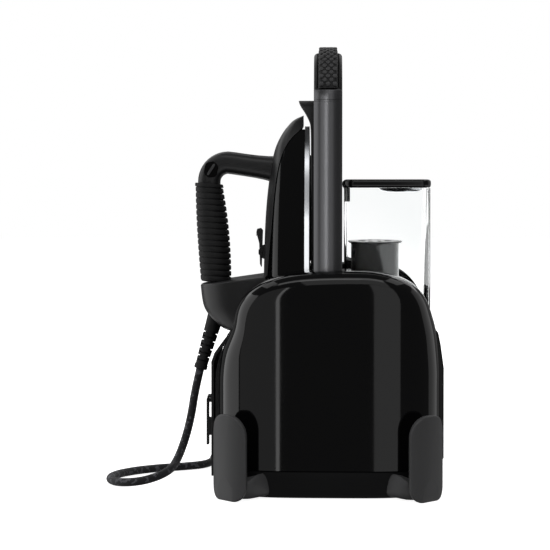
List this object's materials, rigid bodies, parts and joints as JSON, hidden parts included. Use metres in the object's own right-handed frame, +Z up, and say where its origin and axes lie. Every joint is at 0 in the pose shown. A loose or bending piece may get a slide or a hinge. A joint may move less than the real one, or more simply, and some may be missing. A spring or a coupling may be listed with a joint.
{
  "type": "steam generator ironing station",
  "caption": "Boiler base with an upright docked steam iron on its left, a tall carry handle over the middle and a lift-out clear water tank on its right.",
  "frame": {"origin": "centre of the object's box on the surface that it stands on, the free cord left out", "axes": "+Z up; -Y is the front, towards a viewer who has the iron on the left and the water tank on the right; +X towards the tank"},
  "size_m": [0.3256, 0.3908, 0.42],
  "materials": {
    "gloss_shell": "polished black",
    "matte_base": "fine texture, dark grey",
    "matte_black": "fine texture, black",
    "satin_metal": "anthracite anodised, satin",
    "soft_rubber": "moulded, dull",
    "steel_sole": "polished",
    "cast_alloy": "as cast",
    "iron_skirt_gloss": "glossy black",
    "iron_cover_satin": "satin dark grey",
    "clear_tank": "clear moulded",
    "lid_gloss": "glossy black",
    "cartridge_satin": "satin black",
    "cord_braid": "braided sleeve",
    "boiler_steel": "plain",
    "screw_steel": "zinc plated",
    "board_green": "circuit board",
    "valve_brass": "turned"
  },
  "bodies": {
    "root": {"front_shell": "gloss_shell", "rear_shell": "gloss_shell", "front_bulkhead": "matte_black", "rear_bulkhead": "matte_black", "right_side_panel": "gloss_shell", "left_side_panel": "matte_black", "iron_bay_floor": "matte_black", "iron_bay_wall": "matte_black", "tank_bay_floor": "matte_black", "tank_bay_wall": "matte_black", "spine_cover": "matte_black", "base_tray": "matte_black", "base_screws": "screw_steel", "foot_front_left": "matte_base", "foot_front_right": "matte_base", "foot_rear_left": "matte_base", "foot_rear_right": "matte_base", "foot_pads": "soft_rubber", "carry_handle_frame": "matte_black", "handle_grip_insert": "soft_rubber", "handle_front_trim": "satin_metal", "handle_rear_trim": "satin_metal", "iron_rest_plate": "matte_black", "rest_pads": "soft_rubber", "cord_clip_bracket": "matte_black", "steam_cord_gland": "soft_rubber", "mains_lead_gland": "soft_rubber", "boiler": "boiler_steel", "boiler_straps": "boiler_steel", "heating_element": "screw_steel", "boiler_thermostat": "matte_black", "safety_valve": "valve_brass", "pump_body": "matte_black", "solenoid_valve": "valve_brass", "circuit_board": "board_green", "tank_valve_seat": "soft_rubber", "inner_tubes": "soft_rubber", "steam_cord": "cord_braid", "steam_cord_coil": "cord_braid", "steam_cord_tail": "cord_braid"},
    "iron": {"iron_soleplate": "steel_sole", "iron_steam_chamber": "cast_alloy", "iron_skirt": "iron_skirt_gloss", "iron_top_cover": "iron_cover_satin", "iron_handle": "iron_cover_satin", "iron_grip": "soft_rubber", "iron_heel": "iron_cover_satin", "iron_cord_boot": "soft_rubber", "trigger_bracket": "matte_black"},
    "steam_trigger": {"steam_trigger": "iron_cover_satin"},
    "tank": {"tank_body": "clear_tank", "tank_outlet_valve": "matte_black", "tank_hinge_bracket": "matte_black"},
    "tank_lid": {"tank_lid": "lid_gloss", "filler_insert": "lid_gloss"},
    "filter_cartridge": {"filter_cartridge": "cartridge_satin"},
    "cord_clip": {"cord_clip_leaf": "matte_black"},
    "power_button": {"power_button": "matte_base"},
    "drain_cap": {"drain_cap": "matte_black"},
    "pump_piston": {"pump_piston": "boiler_steel"}
  },
  "joints": [
    {"name": "iron_lift", "type": "slide", "parent": "root", "child": "iron", "axis": [-0.866, 0, 0.5], "range_m": [0, 0.13]},
    {"name": "steam_trigger_pull", "type": "hinge", "parent": "iron", "child": "steam_trigger", "pos_m": [-0.0551, 0, 0.224], "axis": [0, -1, 0], "range_deg": [0, 6], "stiffness_Nm_per_rad": 0.6, "springref_deg": -5.73},
    {"name": "tank_lift", "type": "slide", "parent": "root", "child": "tank", "axis": [0, 0, 1], "range_m": [0, 0.14]},
    {"name": "tank_lid_hinge", "type": "hinge", "parent": "tank", "child": "tank_lid", "pos_m": [0.0291, 0, 0.2905], "axis": [0, -1, 0], "range_deg": [0, 75]},
    {"name": "cartridge_lift", "type": "slide", "parent": "tank", "child": "filter_cartridge", "axis": [0, 0, 1], "range_m": [0, 0.045]},
    {"name": "cord_clip_hinge", "type": "hinge", "parent": "root", "child": "cord_clip", "pos_m": [-0.1053, 0, 0.0792], "axis": [0, 1, 0], "range_deg": [0, 15], "stiffness_Nm_per_rad": 0.15, "springref_deg": -11.46},
    {"name": "power_button_press", "type": "slide", "parent": "root", "child": "power_button", "axis": [0, -1, 0], "range_m": [0, 0.002], "stiffness_N_per_m": 600, "springref_m": -0.002},
    {"name": "drain_cap_turn", "type": "hinge", "parent": "root", "child": "drain_cap", "pos_m": [0.0111, 0.118, 0.06], "axis": [0, -1, 0], "range_deg": [0, 90]},
    {"name": "pump_piston_stroke", "type": "slide", "parent": "root", "child": "pump_piston", "axis": [0, 1, 0], "range_m": [-0.002, 0.004], "stiffness_N_per_m": 800}
  ]
}
